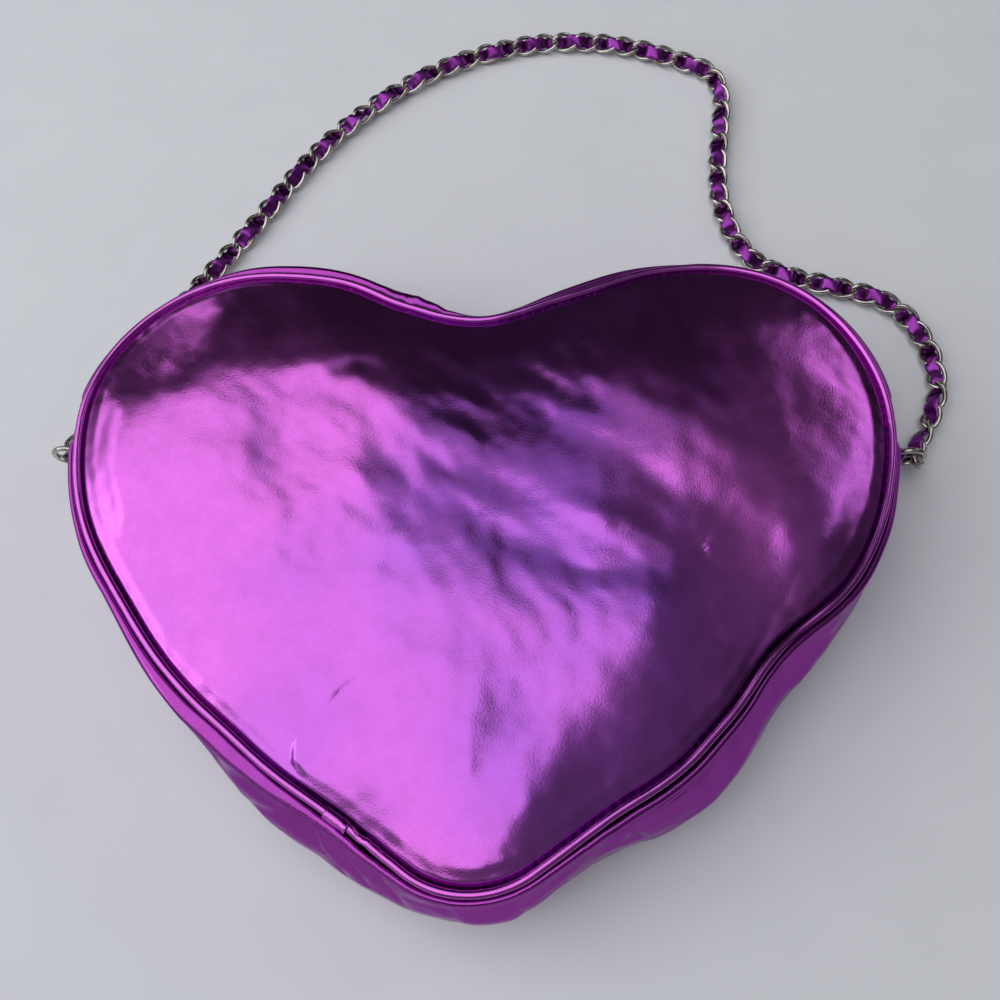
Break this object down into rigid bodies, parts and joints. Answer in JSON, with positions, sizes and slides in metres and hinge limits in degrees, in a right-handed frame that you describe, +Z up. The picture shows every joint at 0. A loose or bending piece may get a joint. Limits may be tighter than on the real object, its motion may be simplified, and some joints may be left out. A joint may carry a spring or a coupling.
{
  "type": "heart shaped purse",
  "caption": "Puffy heart shaped zip purse in metallic faux leather, piped edges, gusset, top zip with slider, and a chain and ribbon strap on end rings.",
  "frame": {"origin": "middle of the flat back panel, halfway between the sides and halfway from the tip to the lobes' tops, on the surface that the purse lies on", "axes": "+Z up through the front panel, +Y from the tip towards the lobes, +X to the right as seen from the front"},
  "size_m": [0.369, 0.4135, 0.0615],
  "materials": {
    "foil_leather": "purple metallic foil on soft faux leather with a fine grain",
    "foil_ribbon": "flat strip of the same metallic foil material",
    "lining": "plain dark woven lining",
    "foam": "thin soft foam",
    "filler_cord": "twisted fibre cord",
    "zip_tape": "dark woven zip tape",
    "nickel": "polished nickel"
  },
  "bodies": {
    "purse": {"front_panel": "foil_leather", "front_padding": "foam", "front_lining": "lining", "back_panel": "foil_leather", "back_padding": "foam", "back_lining": "lining", "bottom_gusset": "foil_leather", "bottom_gusset_lining": "lining", "front_zip_strip": "foil_leather", "back_zip_strip": "foil_leather", "front_zip_strip_lining": "lining", "back_zip_strip_lining": "lining", "front_piping_cover": "foil_leather", "back_piping_cover": "foil_leather", "front_piping_filler": "filler_cord", "back_piping_filler": "filler_cord", "piping_join": "foil_leather", "front_zip_tape": "zip_tape", "back_zip_tape": "zip_tape", "front_zip_teeth": "nickel", "back_zip_teeth": "nickel", "zip_top_stops": "nickel", "zip_bottom_stop": "nickel", "right_strap_tab": "foil_leather", "left_strap_tab": "foil_leather", "chain_links": "nickel", "chain_ribbon": "foil_ribbon"},
    "slider": {"zip_slider": "nickel"},
    "pull": {"zip_pull_tab": "nickel"},
    "right_ring": {"right_end_ring": "nickel"},
    "left_ring": {"left_end_ring": "nickel"}
  },
  "joints": [
    {"name": "slider_travel", "type": "hinge", "parent": "purse", "child": "slider", "pos_m": [0.082, 0.048, 0.0261], "axis": [0, 0, 1], "range_deg": [0, 74]},
    {"name": "pull_flip", "type": "hinge", "parent": "slider", "child": "pull", "pos_m": [0.15497, 0.06619, 0.0261], "axis": [0, 0, -1], "range_deg": [0, 140]},
    {"name": "right_ring_swing", "type": "hinge", "parent": "purse", "child": "right_ring", "pos_m": [0.1605, 0.048, 0.02], "axis": [0, 0, 1], "range_deg": [-20, 20]},
    {"name": "left_ring_swing", "type": "hinge", "parent": "purse", "child": "left_ring", "pos_m": [-0.1605, 0.048, 0.02], "axis": [0, 0, 1], "range_deg": [-20, 20]}
  ]
}
